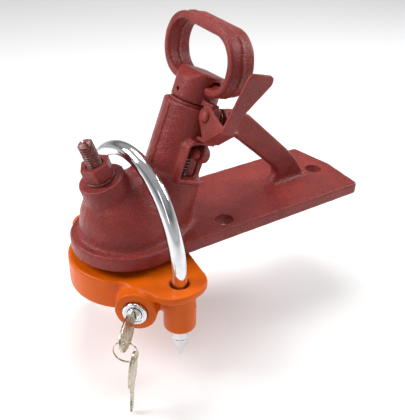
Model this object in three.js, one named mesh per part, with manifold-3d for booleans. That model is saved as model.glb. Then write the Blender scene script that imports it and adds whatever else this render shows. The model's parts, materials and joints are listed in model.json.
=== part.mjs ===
// Flat-mount trailer coupler with a ball-socket lock fitted on it.
// Millimetres, +Z up. The design frame has its origin on the ball axis at the plate's underside, with +X
// towards the plate's tail and -Y on the trigger's side. The exported group is shifted along X, so that its
// origin is the middle of the bolt pattern on the plate's mounting face.

import * as THREE from 'three';
import { mergeVertices } from 'three/addons/utils/BufferGeometryUtils.js';
import Module from 'manifold-3d';

const wasm = await Module();
wasm.setup();

const DEG = Math.PI / 180;
const GAP = 0.3;
const FIT = 0.4;
const ARC = 0.5523;

// Mounting plate
const PLATE_T = 11.5;
const PLATE_HALF_W = 47.9;
const RIM_R = 50;
const TAIL_CORNER_X = 232.5;
const TAIL_TIP_X = 237.8;
const TAIL_CORNER_R = 4;
const BOLT_R = 16.7 / 2;
const BOLT_FRONT_X = 80;
const BOLT_TAIL_X = 216;
const BOLT_FRONT_Y = 32.3;
const ORIGIN_X = (BOLT_FRONT_X + BOLT_TAIL_X) / 2;

// Ball socket under the dome
const BALL_Z = 25;
const SOCKET_R = 30;
const DOME_R = 40.5;
const DOME_Z = 23.5;

// Leaning plunger tube, with its own frame: z along the tube, x towards the tail
const TUBE_LEAN = 21.7 * DEG;
const TUBE_FOOT = [26.5, 0, PLATE_T];
const TUBE_R = 24.5;
const TUBE_TOP = 109.5;
const TUBE_LOW_R = 27.5;
const BORE_R = 20.4;
const BORE_FLOOR = 3.5;

// Plunger, which slides in the tube and grips the ball from behind
const PLUNGER_R = 20;
const PLUNGER_TOP = 112;
const HEAD_TOP = 138;
const JAW_R = 30.4;
const KEEPER_Z = 73;
const KEEPER_Y = -21.5;
const KEEPER_R = 4.4;
const STROKE = 24;

// Pull ring through the plunger's head
const RING_PIVOT = [2.4, 0, 128.7];
const RING_LEAN = -12.7 * DEG;
const RING_ROLL = 3.5 * DEG;
const RING_HALF_W = 49.5;
const RING_HEIGHT = 56;
const RING_BAR_R = 4.4;
const RING_THICK = 6.8;
const RING_DEPTH = 24;
const RING_CORNER_R = 24;

// Trigger latch on the plunger's side; its pivot lies along the tube frame's x
const TRIGGER_PIVOT = [0, -33, 107.5];
const TRIGGER_X0 = -9;
const TRIGGER_X1 = 8;
const SHEET_T = 2.8;
const RIVET_R = 3.2;
const LUG_Y = -26.2;

// Adjusting screw in the front boss, with its own frame: z out of the boss
const BOSS_TOP = [-21.4, 0, 67.5];
const BOSS_LEAN = -19 * DEG;
const BOSS_R = 19.7;
const SCREW_R = 6.5;
const SCREW_TOP = 36.5;
const SHOE_R = 8;
const SHOE_TOP = -9;
const NUT_FLATS = 23;
const NUT_H = 13;
const WASHER_H = 2;

// Lock hung under the socket, turned a little about the ball axis
const LOCK_TURN = 7.5 * DEG;
const BODY_R = 53.5;
const BODY_TOP = -7;
const BODY_BOTTOM = -35;
const NEAR_EAR = 71;
const FAR_EAR = 62;
const NEAR_LIP = 19;
const FAR_LIP = 15;
const EAR_T = 6.5;
const EAR_BOSS_R = 13.9;
const EAR_BOSS_BOTTOM = -50.5;
const SHACKLE_R = 6.35;
const SHACKLE_HOLE_R = 8.2;
const SHACKLE_TOP = 88;
const SHACKLE_TIP = -84;
const NECK_R = 3.9;
const GROOVE_Z = -24.5;

// Lock cylinder, with its own frame: z out of the key face, y up, x towards the near shackle leg
const BARREL_FACE = [-37.6, -60.1, GROOVE_Z];
const BARREL_TURN = -141 * DEG;
const BARREL_R = 17.5;
const SHELL_R = 9.2;
const FLANGE_R = 10.3;
const FLANGE_Z = 3;
const PLUG_R = 6;
const PLUG_BACK = -13;
const LOCK_BOLT_R = 4.2;
const CRANK_R = 3.5;
const BOLT_THROW = CRANK_R * Math.SQRT2;
const KEY_TURN = 8 * DEG;

// Keys
const KEY_T = 2;
const KEY_TIP_Z = -9;
const SPARE_TIP_Z = -21;
const KEY_HOLE_Z = 35.4;
const KEY_END_Z = 43;
const KEY_RING_R = 10;
const KEY_WIRE_R = 0.8;
const SPARE_ON_RING = 34 * DEG;

const paint = new THREE.Color(0.36, 0.085, 0.075);
const cast = () => new THREE.MeshStandardMaterial({ color: paint, roughness: 0.55, metalness: 0.1 });
const orange = () => new THREE.MeshStandardMaterial({ color: 0xe05a08, roughness: 0.4, metalness: 0 });
const chrome = () => new THREE.MeshStandardMaterial({ color: 0xdadcde, roughness: 0.08, metalness: 1 });
const steel = () => new THREE.MeshStandardMaterial({ color: 0x8a8c8e, roughness: 0.35, metalness: 1 });
const nickel = () => new THREE.MeshStandardMaterial({ color: 0xc9bfa4, roughness: 0.22, metalness: 1 });

// Solid modelling helpers

function toSolid(geometry) {
  const bare = geometry.clone();
  bare.deleteAttribute('normal');
  bare.deleteAttribute('uv');
  const merged = mergeVertices(bare, 1e-4);
  const vertProperties = new Float32Array(merged.attributes.position.array);
  const triVerts = new Uint32Array(merged.index.array);
  return new wasm.Manifold(new wasm.Mesh({ numProp: 3, vertProperties, triVerts }));
}

function toGeometry(solid) {
  const mesh = solid.getMesh();
  const geometry = new THREE.BufferGeometry();
  geometry.setAttribute('position', new THREE.BufferAttribute(new Float32Array(mesh.vertProperties), 3));
  geometry.setIndex(new THREE.BufferAttribute(new Uint32Array(mesh.triVerts), 1));
  return geometry;
}

const join = (...solids) => solids.reduce((sum, next) => sum.add(next));
const cut = (solid, ...tools) => tools.reduce((rest, tool) => rest.subtract(tool), solid);

// A frame is a matrix: a turn about one axis followed by a move.
function frameAt([x, y, z], turn = new THREE.Matrix4()) {
  return new THREE.Matrix4().makeTranslation(x, y, z).multiply(turn);
}

const turnX = (angle) => new THREE.Matrix4().makeRotationX(angle);
const turnY = (angle) => new THREE.Matrix4().makeRotationY(angle);
const turnZ = (angle) => new THREE.Matrix4().makeRotationZ(angle);

function placed(geometry, frame) {
  return toSolid(frame ? geometry.clone().applyMatrix4(frame) : geometry);
}

// Upright cylinder or cone frustum from z0 to z1
function roundBar(r0, z0, z1, sides = 32, r1 = r0) {
  const geometry = new THREE.CylinderGeometry(r1, r0, z1 - z0, sides);
  geometry.rotateX(Math.PI / 2);
  geometry.translate(0, 0, (z0 + z1) / 2);
  return geometry;
}

function block(x0, x1, y0, y1, z0, z1) {
  const geometry = new THREE.BoxGeometry(x1 - x0, y1 - y0, z1 - z0);
  geometry.translate((x0 + x1) / 2, (y0 + y1) / 2, (z0 + z1) / 2);
  return geometry;
}

// Turned shape about z from a profile of [radius, height] pairs
function turned(profile, sides = 32) {
  const geometry = new THREE.LatheGeometry(profile.map(([r, z]) => new THREE.Vector2(r, z)), sides);
  geometry.rotateX(Math.PI / 2);
  return geometry;
}

// Flat outline in x and y, raised from z0 to z1
function slab(shape, z0, z1, curveSegments = 10) {
  const geometry = new THREE.ExtrudeGeometry(shape, { depth: z1 - z0, bevelEnabled: false, curveSegments });
  geometry.translate(0, 0, z0);
  return geometry;
}

// Outline drawn in y and z, extruded along x from x0 to x1
function sideSlab(shape, x0, x1, curveSegments = 10) {
  const geometry = slab(shape, x0, x1, curveSegments);
  geometry.applyMatrix4(new THREE.Matrix4().set(0, 0, 1, 0, 1, 0, 0, 0, 0, 1, 0, 0, 0, 0, 0, 1));
  return geometry;
}

// Outline drawn in x and z, extruded along y from y0 to y1
function frontSlab(shape, y0, y1, curveSegments = 10) {
  const geometry = slab(shape, -y1, -y0, curveSegments);
  geometry.rotateX(Math.PI / 2);
  return geometry;
}

function outline(points) {
  return new THREE.Shape(points.map(([x, y]) => new THREE.Vector2(x, y)));
}

// Polygon whose corners are rounded to radius r
function roundedOutline(points, r) {
  const shape = new THREE.Shape();
  points.forEach((point, i) => {
    const corner = new THREE.Vector2(...point);
    const before = new THREE.Vector2(...points[(i + points.length - 1) % points.length]);
    const after = new THREE.Vector2(...points[(i + 1) % points.length]);
    const start = corner.clone().add(before.sub(corner).setLength(r));
    const end = corner.clone().add(after.sub(corner).setLength(r));
    if (i === 0) {
      shape.moveTo(start.x, start.y);
    } else {
      shape.lineTo(start.x, start.y);
    }
    const bend = start.clone().lerp(corner, ARC);
    const leave = end.clone().lerp(corner, ARC);
    shape.bezierCurveTo(bend.x, bend.y, leave.x, leave.y, end.x, end.y);
  });
  shape.closePath();
  return shape;
}

// Round wire along a curve
function wire(curve, radius, steps, sides = 6) {
  const section = new THREE.Shape();
  for (let i = 0; i < sides; i += 1) {
    const angle = (2 * Math.PI * i) / sides;
    const [x, y] = [radius * Math.cos(angle), radius * Math.sin(angle)];
    if (i === 0) {
      section.moveTo(x, y);
    } else {
      section.lineTo(x, y);
    }
  }
  section.closePath();
  return new THREE.ExtrudeGeometry(section, { steps, extrudePath: curve, bevelEnabled: false });
}

class Helix extends THREE.Curve {
  constructor(radius, z0, z1, turns) {
    super();
    Object.assign(this, { radius, z0, z1, turns });
  }

  getPoint(t, target = new THREE.Vector3()) {
    const angle = 2 * Math.PI * this.turns * t;
    const z = this.z0 + (this.z1 - this.z0) * t;
    return target.set(this.radius * Math.cos(angle), this.radius * Math.sin(angle), z);
  }
}

const tubeFrame = frameAt(TUBE_FOOT, turnY(TUBE_LEAN));
const bossFrame = frameAt(BOSS_TOP, turnY(BOSS_LEAN));
const lockFrame = turnZ(LOCK_TURN);
const barrelAxis = new THREE.Vector3(Math.cos(BARREL_TURN), Math.sin(BARREL_TURN), 0);
const barrelUp = new THREE.Vector3(0, 0, 1);
const barrelSide = new THREE.Vector3().crossVectors(barrelUp, barrelAxis);
const barrelFrame = frameAt(BARREL_FACE, new THREE.Matrix4().makeBasis(barrelSide, barrelUp, barrelAxis));

// Where the near shackle leg stands in the barrel's frame: the locking bolt's line runs to it
const nearLeg = new THREE.Vector3(0, -NEAR_EAR, GROOVE_Z).applyMatrix4(barrelFrame.clone().invert());
const LEG_X = nearLeg.x;
const BOLT_Z = nearLeg.z;
const boltLine = frameAt([0, 0, BOLT_Z], turnY(90 * DEG));
const earY = (side) => (side < 0 ? -NEAR_EAR : FAR_EAR);

// Coupler housing: plate, rim, dome, screw boss, tube and strut in one casting

function plateOutline() {
  const edge = Math.asin(PLATE_HALF_W / RIM_R);
  const shape = new THREE.Shape();
  shape.moveTo(TAIL_CORNER_X - TAIL_CORNER_R, PLATE_HALF_W);
  shape.absarc(0, 0, RIM_R, edge, 2 * Math.PI - edge, false);
  shape.lineTo(TAIL_CORNER_X - TAIL_CORNER_R, -PLATE_HALF_W);
  shape.quadraticCurveTo(TAIL_CORNER_X, -PLATE_HALF_W, TAIL_CORNER_X, TAIL_CORNER_R - PLATE_HALF_W);
  shape.lineTo(TAIL_TIP_X, 0);
  shape.lineTo(TAIL_CORNER_X, PLATE_HALF_W - TAIL_CORNER_R);
  shape.quadraticCurveTo(TAIL_CORNER_X, PLATE_HALF_W, TAIL_CORNER_X - TAIL_CORNER_R, PLATE_HALF_W);
  return shape;
}

function domeProfile() {
  const profile = [[0, 1], [RIM_R - 2, 1], [RIM_R - 1.2, PLATE_T - 1], [RIM_R - 3, PLATE_T + 1.6]];
  const waist = DOME_R + 3.5;
  profile.push([waist, PLATE_T + 2.4], [DOME_R + 0.6, PLATE_T + 6]);
  for (let angle = 0; angle < 90; angle += 11.25) {
    profile.push([DOME_R * Math.cos(angle * DEG), DOME_Z + DOME_R * Math.sin(angle * DEG)]);
  }
  profile.push([0, DOME_Z + DOME_R]);
  return profile;
}

function strutOutline() {
  const shape = new THREE.Shape();
  shape.moveTo(62, 90);
  shape.lineTo(76, 101.5);
  shape.quadraticCurveTo(112, 103, 128, 89.5);
  shape.lineTo(174, 46);
  shape.quadraticCurveTo(188, 32, 196, 17);
  shape.lineTo(203, PLATE_T - 1);
  shape.lineTo(159, PLATE_T - 1);
  shape.quadraticCurveTo(167, 22, 157, 32);
  shape.lineTo(118, 67);
  shape.quadraticCurveTo(101, 81, 78, 83);
  shape.closePath();
  return shape;
}

function pocketPad() {
  const outer = outline([[-13, 47.6], [13, 47.6], [13, 85.5], [-9, 85.5], [-13, 80]]);
  return frontSlab(outer, -31, -16);
}

function housing() {
  const plate = placed(slab(plateOutline(), 0, PLATE_T, 22));
  const dome = placed(turned(domeProfile(), 44));
  const boss = placed(roundBar(BOSS_R + 1.5, -44, 0, 32, BOSS_R), bossFrame);
  const tube = placed(roundBar(TUBE_R, -4, TUBE_TOP, 32), tubeFrame);
  const lower = placed(roundBar(TUBE_LOW_R + 4, -6, 50, 32, TUBE_LOW_R), tubeFrame);
  const pad = placed(pocketPad(), tubeFrame);
  const strut = placed(frontSlab(strutOutline(), -5.2, 5.2));
  const catchLug = placed(block(-8, 7, LUG_Y, -20, 90.6, 97), tubeFrame);
  const gussets = [-1, 1].map((side) => placed(block(-27.5, -18, side * 9 - 3, side * 9 + 3, 30, 48.8), tubeFrame));
  const below = placed(block(-300, 300, -100, 100, -60, 0));
  const body = cut(join(plate, dome, boss, tube, lower, pad, strut, catchLug, ...gussets), below);
  return cut(body, ...housingHollows());
}

function housingHollows() {
  const socketSkirt = placed(roundBar(SOCKET_R + 0.3, -1, BALL_Z, 36));
  const ball = new THREE.SphereGeometry(SOCKET_R + 0.3, 36, 14);
  ball.rotateX(Math.PI / 2);
  ball.translate(0, 0, BALL_Z);
  const bore = placed(roundBar(BORE_R, BORE_FLOOR, TUBE_TOP + 5, 32), tubeFrame);
  const screwHole = placed(roundBar(SCREW_R + FIT, -60, 5, 24), bossFrame);
  const shoeHole = placed(roundBar(SHOE_R + FIT, -60, SHOE_TOP + GAP, 24), bossFrame);
  const pocket = placed(block(-9, 18, -40, -17, 55, 81), tubeFrame);
  const bolts = [
    [BOLT_FRONT_X, BOLT_FRONT_Y],
    [BOLT_FRONT_X, -BOLT_FRONT_Y],
    [BOLT_TAIL_X, 0],
  ].map(([x, y]) => placed(roundBar(BOLT_R, -1, PLATE_T + 1, 24).translate(x, y, 0)));
  return [socketSkirt, placed(ball), bore, screwHole, shoeHole, pocket, ...bolts];
}

// Adjusting screw group, in the boss frame

function hexagon(flats) {
  const shape = new THREE.Shape();
  for (let i = 0; i < 6; i += 1) {
    const angle = i * 60 * DEG;
    const corner = flats / Math.sqrt(3);
    const [x, y] = [corner * Math.cos(angle), corner * Math.sin(angle)];
    if (i === 0) {
      shape.moveTo(x, y);
    } else {
      shape.lineTo(x, y);
    }
  }
  shape.closePath();
  return shape;
}

function adjustingScrew() {
  const shank = placed(roundBar(SCREW_R, SHOE_TOP - 3, SCREW_TOP - 1.5, 24));
  const end = placed(roundBar(SCREW_R, SCREW_TOP - 1.6, SCREW_TOP, 24, SCREW_R - 1.2));
  const slot = placed(block(-0.9, 0.9, -8, 8, SCREW_TOP - 3, SCREW_TOP + 1));
  return cut(join(shank, end), slot);
}

function jamNut() {
  const [z0, z1] = [WASHER_H + GAP * 2, WASHER_H + GAP * 2 + NUT_H];
  const prism = placed(slab(hexagon(NUT_FLATS), z0, z1));
  return cut(prism, placed(roundBar(SCREW_R + FIT, z0 - 1, z1 + 1, 24)));
}

function lockWasher() {
  const [z0, z1] = [GAP, GAP + WASHER_H];
  return cut(placed(roundBar(12.6, z0, z1, 32)), placed(roundBar(SCREW_R + FIT, z0 - 1, z1 + 1, 24)));
}

function ballShoe() {
  const pad = placed(roundBar(SHOE_R, -28, SHOE_TOP, 24));
  const seat = placed(roundBar(SCREW_R + FIT, SHOE_TOP - 3.4, SHOE_TOP + 1, 24));
  const toBoss = bossFrame.clone().invert();
  const ball = new THREE.SphereGeometry(SOCKET_R - 0.4, 28, 14);
  ball.translate(0, 0, BALL_Z);
  return cut(pad, seat, placed(ball, toBoss));
}

// Plunger group, in the tube frame

function plunger() {
  const shaft = placed(roundBar(PLUNGER_R, 4, PLUNGER_TOP, 32));
  const toTube = tubeFrame.clone().invert();
  const ball = new THREE.SphereGeometry(JAW_R, 28, 14);
  ball.translate(0, 0, BALL_Z);
  const groove = placed(block(-4, 4, -30, -13.2, 32, KEEPER_Z + KEEPER_R + 0.8));
  const trackEnds = [KEEPER_Z - KEEPER_R - STROKE - 1, KEEPER_Z + KEEPER_R + 0.8];
  const keeperTrack = placed(block(-25, 25, -30, KEEPER_Y + KEEPER_R + 0.7, ...trackEnds));
  const spigotSeat = placed(roundBar(10.3, PLUNGER_TOP - 14, PLUNGER_TOP + 1, 28));
  const pinHole = placed(roundBar(2.3, -30, 30, 12), frameAt([0, 0, PLUNGER_TOP - 7], turnY(90 * DEG)));
  return cut(shaft, placed(ball, toTube), groove, keeperTrack, spigotSeat, pinHole);
}

function plungerHead() {
  const base = placed(roundBar(PLUNGER_R, PLUNGER_TOP + GAP, RING_PIVOT[2] - 2, 32));
  const [px, , pz] = RING_PIVOT;
  const eyeShape = roundedOutline([[px - 13, pz - 10], [px + 13, pz - 10], [px + 12, HEAD_TOP], [px - 12, HEAD_TOP]], 7);
  const eye = placed(frontSlab(eyeShape, -19, 19, 6));
  const spigot = placed(roundBar(10, PLUNGER_TOP - 13.5, PLUNGER_TOP + 2, 28));
  const lugArm = placed(block(-5.6, 1.5, -34, -15, PLUNGER_TOP + 1.2, 118.4));
  const lugTip = placed(roundBar(6.2, -5.6, 1.5, 24), frameAt(TRIGGER_PIVOT, turnY(90 * DEG)));
  const lugNeck = placed(block(-5.6, 1.5, -38.3, -26.2, 107.5, 116));
  const ringHole = placed(roundBar(RING_BAR_R + 1.9, -30, 30, 24), ringFrame().multiply(turnX(90 * DEG)));
  const rivetHole = placed(roundBar(RIVET_R + FIT, -20, 20, 20), frameAt(TRIGGER_PIVOT, turnY(90 * DEG)));
  const pinHole = placed(roundBar(2.3, -30, 30, 12), frameAt([0, 0, PLUNGER_TOP - 7], turnY(90 * DEG)));
  return cut(join(base, eye, spigot, lugArm, lugTip, lugNeck), ringHole, rivetHole, pinHole);
}

function headPin() {
  return placed(roundBar(2, -19, 19, 12), frameAt([0, 0, PLUNGER_TOP - 7], turnY(90 * DEG)));
}

function plungerSpring() {
  const coil = new Helix(2.5, 33.5, KEEPER_Z - KEEPER_R - 1.6, 8);
  return placed(wire(coil, 0.6, 64, 4), frameAt([0, -16.8, 0]));
}

function keeperPin() {
  const along = frameAt([0, KEEPER_Y, KEEPER_Z], turnY(90 * DEG));
  const shank = placed(roundBar(KEEPER_R - 1, -2, 16, 20), along);
  const dome = placed(turned([[0, -7], [2.4, -6.4], [3.8, -5], [KEEPER_R, -2.6], [KEEPER_R, 0], [0, 0]], 20), along);
  return join(shank, dome);
}

function keeperCollar() {
  const along = frameAt([0, KEEPER_Y, KEEPER_Z], turnY(90 * DEG));
  const profile = [[0, 1], [4.8, 1], [7, 2.6], [7.4, 5], [7, 8], [5, 9.6], [0, 9.6]];
  const shankHole = placed(roundBar(KEEPER_R - 1 + FIT, -5, 20, 20), along);
  return cut(placed(turned(profile, 24), along), shankHole, placed(roundBar(BORE_R, 0, 120, 40)));
}

// Pull ring, in its own frame: y along the bar, z up the ring, x through it

function ringFrame() {
  return frameAt(RING_PIVOT, turnY(RING_LEAN).multiply(turnX(RING_ROLL)));
}

function pullRing() {
  const low = -RING_THICK / 2;
  const high = low + RING_HEIGHT;
  const corners = (w, z0, z1) => [[-w, z0], [w, z0], [w, z1], [-w, z1]];
  const outer = roundedOutline(corners(RING_HALF_W, low, high), RING_CORNER_R + 3);
  const innerCorners = corners(RING_HALF_W - RING_THICK, low + RING_THICK, high - RING_THICK);
  const band = placed(sideSlab(outer, -RING_DEPTH / 2, RING_DEPTH / 2, 10));
  const window = placed(sideSlab(roundedOutline(innerCorners, RING_CORNER_R - 3), -20, 20, 10));
  const gateway = placed(block(-20, 20, -20.5, 20.5, low - 1, low + RING_THICK + 3));
  const bar = placed(roundBar(RING_BAR_R, -24, 24, 24), turnX(90 * DEG));
  return join(cut(band, window, gateway), cut(bar, placed(block(-20, 20, -30, 30, -20, low))));
}

// Trigger, in its pivot's frame: x along the rivet, -y outwards, z up the tube

function earOutline() {
  const shape = new THREE.Shape();
  shape.moveTo(-5.4, -17.6);
  shape.lineTo(-24.4, -0.9);
  shape.lineTo(-8.2, 5);
  shape.absarc(0, 0, 9, 148 * DEG, -20 * DEG, true);
  shape.closePath();
  return shape;
}

function tongueOutline() {
  const shape = new THREE.Shape();
  const top = TRIGGER_X0 + 23;
  const side = TRIGGER_X0 + 0.7;
  shape.moveTo(side, -4);
  shape.lineTo(side, 42);
  shape.quadraticCurveTo(side + 0.5, 48, side + 5, 49.5);
  shape.lineTo(top - 5, 52);
  shape.quadraticCurveTo(top + 0.5, 51.5, top, 44);
  shape.lineTo(TRIGGER_X0 + 12, 14);
  shape.lineTo(TRIGGER_X0 + 12, -4);
  shape.closePath();
  return shape;
}

function trigger() {
  const earHoles = placed(roundBar(RIVET_R + FIT, -20, 20, 20), turnY(90 * DEG));
  const ears = [TRIGGER_X0, TRIGGER_X1 - SHEET_T].map((x) => placed(sideSlab(earOutline(), x, x + SHEET_T, 8)));
  const webOutline = outline([[-4.7, -16.8], [-23.6, -0.2], [-26.2, -3], [-7.2, -19.8]]);
  const web = placed(sideSlab(webOutline, TRIGGER_X0 + 0.4, TRIGGER_X1 - 0.4));
  const clawOutline = outline([[-6, -17.2], [4.2, -17.6], [6.4, -18.6], [5.8, -20.6], [-7.4, -20]]);
  const claw = placed(sideSlab(clawOutline, TRIGGER_X0 + 3, TRIGGER_X1 - 3));
  const lean = frameAt([0, -26.2, -2], turnX(12 * DEG));
  const tongue = placed(frontSlab(tongueOutline(), 0, SHEET_T, 8), lean);
  return cut(join(...ears, web, claw, tongue), earHoles);
}

function triggerRivet() {
  const shank = placed(roundBar(RIVET_R, TRIGGER_X0 - 1, TRIGGER_X1 + 1.5, 20), turnY(90 * DEG));
  const head = [[0, -3.4], [2.6, -3], [4.4, -1.8], [5.2, -GAP], [0, -GAP]];
  const front = placed(turned(head, 24), turnY(90 * DEG).premultiply(frameAt([TRIGGER_X0, 0, 0])));
  const tail = placed(roundBar(4.6, TRIGGER_X1 + GAP, TRIGGER_X1 + 2.2, 24, 3.8), turnY(90 * DEG));
  return join(shank, front, tail);
}

function triggerSpring() {
  const coil = wire(new Helix(5.4, 2.3, 4.5, 1.5), 0.5, 40, 6);
  return placed(coil, turnY(90 * DEG));
}

// Lock body: disc, two ears with bosses, and the barrel that holds the lock cylinder

function earPlate(side) {
  const shape = new THREE.Shape();
  const waist = earY(side) - side * 2;
  const shoulder = earY(side) + side * (side < 0 ? NEAR_LIP : FAR_LIP) * 0.74;
  const lip = earY(side) + side * (side < 0 ? NEAR_LIP : FAR_LIP);
  shape.moveTo(-36, side * 38);
  shape.lineTo(36, side * 38);
  const half = side < 0 ? 26.5 : 20;
  shape.lineTo(half, waist);
  shape.bezierCurveTo(half - 2.5, shoulder, half - 14, lip, 0, lip);
  shape.bezierCurveTo(14 - half, lip, 2.5 - half, shoulder, -half, waist);
  shape.closePath();
  return placed(slab(shape, BODY_TOP - EAR_T, BODY_TOP, 10));
}

function lockBody() {
  const disc = [[0, BODY_BOTTOM], [BODY_R - 5, BODY_BOTTOM], [BODY_R - 1.5, BODY_BOTTOM + 2], [BODY_R, BODY_BOTTOM + 6]];
  disc.push([BODY_R, BODY_TOP - 1.2], [BODY_R - 1.2, BODY_TOP], [0, BODY_TOP]);
  const parts = [placed(turned(disc, 44))];
  [-1, 1].forEach((side) => {
    const bossLine = frameAt([0, earY(side), 0]);
    const boss = [[0, EAR_BOSS_BOTTOM], [EAR_BOSS_R - 1.5, EAR_BOSS_BOTTOM], [EAR_BOSS_R, EAR_BOSS_BOTTOM + 1.5]];
    boss.push([EAR_BOSS_R, BODY_TOP - 2], [0, BODY_TOP - 2]);
    const web = side < 0 ? [-NEAR_EAR + 5, -45] : [45, FAR_EAR - 5];
    parts.push(earPlate(side), placed(turned(boss, 28), bossLine));
    parts.push(placed(block(-9, 9, web[0], web[1], BODY_BOTTOM + 3, BODY_TOP - 2)));
  });
  const barrelProfile = [[0, -42], [BARREL_R, -42], [BARREL_R, -2], [BARREL_R - 2, 0], [0, 0]];
  parts.push(placed(turned(barrelProfile, 32), barrelFrame));
  parts.push(placed(roundBar(9.5, 4, LEG_X, 20), barrelFrame.clone().multiply(boltLine)));
  return cut(join(...parts), ...lockBodyHollows());
}

function lockBodyHollows() {
  const hollows = [-1, 1].map((side) =>
    placed(roundBar(SHACKLE_HOLE_R, -70, 0, 24), frameAt([0, earY(side), 0])));
  const shellBore = placed(roundBar(SHELL_R + FIT, PLUG_BACK - 0.6, 2, 24), barrelFrame);
  const faceBore = placed(roundBar(FLANGE_R + FIT, -2, 2, 28), barrelFrame);
  const crankRoom = placed(roundBar(7.4, BOLT_Z - 5.4, 0, 20), barrelFrame);
  const boltBore = placed(roundBar(LOCK_BOLT_R + FIT, -9, 60, 24), barrelFrame.clone().multiply(boltLine));
  const pinHole = placed(roundBar(1.6, 6, 30, 10), barrelFrame.clone().multiply(frameAt([0, 0, -7], turnX(90 * DEG))));
  const insertSeat = placed(roundBar(20.3, BODY_TOP - 3, 2, 32));
  const boltHole = placed(roundBar(5.4, -50, 0, 20));
  const headRoom = placed(roundBar(9.4, -50, BODY_BOTTOM + 12, 24));
  return [...hollows, shellBore, faceBore, crankRoom, boltBore, pinHole, insertSeat, boltHole, headRoom];
}

function ballInsert() {
  const profile = [[0, BODY_TOP - 3 + GAP], [20, BODY_TOP - 3 + GAP], [20, 5]];
  const r = SOCKET_R - 1.4;
  for (let angle = -44; angle <= 40; angle += 12) {
    profile.push([r * Math.cos(angle * DEG), BALL_Z + r * Math.sin(angle * DEG)]);
  }
  profile.push([0, BALL_Z + r * Math.sin(40 * DEG)]);
  const threadHole = placed(roundBar(5.4, BODY_TOP - 6, 12, 20));
  return cut(placed(turned(profile, 32)), threadHole);
}

function insertBolt() {
  const head = placed(roundBar(9, BODY_BOTTOM + 2, BODY_BOTTOM + 12 - GAP, 24));
  const socket = placed(slab(hexagon(8), BODY_BOTTOM + 1, BODY_BOTTOM + 7));
  const shank = placed(roundBar(5, BODY_BOTTOM + 10, 11, 20));
  return cut(join(head, shank), socket);
}

// Shackle: a round bar bent to a tall arch, with pointed ends and a bolt groove in each leg

class Arch extends THREE.Curve {
  getPoint(t, target = new THREE.Vector3()) {
    const straight = 0.12;
    if (t < straight || t > 1 - straight) {
      const along = t < 0.5 ? t / straight : (1 - t) / straight;
      const z = SHACKLE_TIP + 14 + (BODY_TOP - SHACKLE_TIP - 14) * along;
      return target.set(0, earY(t < 0.5 ? -1 : 1), z);
    }
    const angle = Math.PI * (1 - (t - straight) / (1 - 2 * straight));
    const y = (FAR_EAR - NEAR_EAR) / 2 + ((FAR_EAR + NEAR_EAR) / 2) * Math.cos(angle);
    return target.set(0, y, BODY_TOP + (SHACKLE_TOP - BODY_TOP) * Math.sin(angle));
  }
}

function shackle() {
  const bar = placed(wire(new Arch(), SHACKLE_R, 40, 12));
  const tips = [-1, 1].map((side) => {
    const profile = [[0, SHACKLE_TIP], [1.2, SHACKLE_TIP + 0.4], [SHACKLE_R + 0.4, SHACKLE_TIP + 12.5]];
    profile.push([SHACKLE_R + 0.4, SHACKLE_TIP + 15], [0, SHACKLE_TIP + 15]);
    return placed(turned(profile, 24), frameAt([0, earY(side), 0]));
  });
  const groove = cut(placed(roundBar(12, GROOVE_Z - 5, GROOVE_Z + 5, 28)), placed(roundBar(NECK_R, -99, 99, 20)));
  const neckCuts = [-1, 1].map((side) => toSolid(toGeometry(groove).translate(0, earY(side), 0)));
  return cut(join(bar, ...tips), ...neckCuts);
}

// Lock cylinder group, in the barrel frame

function cylinderShell() {
  const outer = [[0, PLUG_BACK], [SHELL_R, PLUG_BACK], [SHELL_R, -1.6], [FLANGE_R, -1.6]];
  outer.push([FLANGE_R, FLANGE_Z - 1.6], [FLANGE_R - 1.6, FLANGE_Z], [0, FLANGE_Z]);
  const bore = placed(roundBar(PLUG_R + FIT, PLUG_BACK - 1, FLANGE_Z + 1, 32));
  const pinDimple = placed(roundBar(1.6, 7.6, 12, 10), frameAt([0, 0, -7], turnX(90 * DEG)));
  return cut(placed(turned(outer, 32)), bore, pinDimple);
}

function shellPin() {
  return placed(roundBar(1.25, 7.9, 16.6, 10), frameAt([0, 0, -7], turnX(90 * DEG)));
}

function lockPlug() {
  const barrel = placed(turned([[0, PLUG_BACK], [PLUG_R, PLUG_BACK], [PLUG_R, 3], [PLUG_R - 0.6, 3.5], [0, 3.5]], 32));
  const keyway = placed(block(-KEY_T / 2 - 0.3, KEY_T / 2 + 0.3, -3.4, 3.4, KEY_TIP_Z - 0.6, 5));
  return cut(barrel, keyway);
}

function plugCam() {
  const disc = placed(roundBar(PLUG_R, PLUG_BACK - 0.4 - 2.6, PLUG_BACK - 0.4, 28));
  const [x, y] = [-CRANK_R * Math.SQRT1_2, CRANK_R * Math.SQRT1_2];
  const crank = placed(roundBar(1.5, BOLT_Z - 3.4, PLUG_BACK - 1, 16).translate(x, y, 0));
  return join(disc, crank);
}

function lockingBolt() {
  const restEnd = LEG_X - SHACKLE_R + 2.15 - BOLT_THROW;
  const rod = placed(roundBar(LOCK_BOLT_R, -5.4, restEnd, 24), boltLine);
  const middle = -BOLT_THROW / 2;
  const slot = placed(block(middle - 1.95, middle + 1.95, 0.4, 9, BOLT_Z - 9, BOLT_Z + 9));
  return cut(rod, slot);
}

function boltBorePlug() {
  return placed(roundBar(LOCK_BOLT_R, LEG_X + SHACKLE_HOLE_R + 0.4, LEG_X + EAR_BOSS_R - 0.3, 24), boltLine);
}

// Key blank: z along the key, y across its bow, x through its thickness

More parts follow.
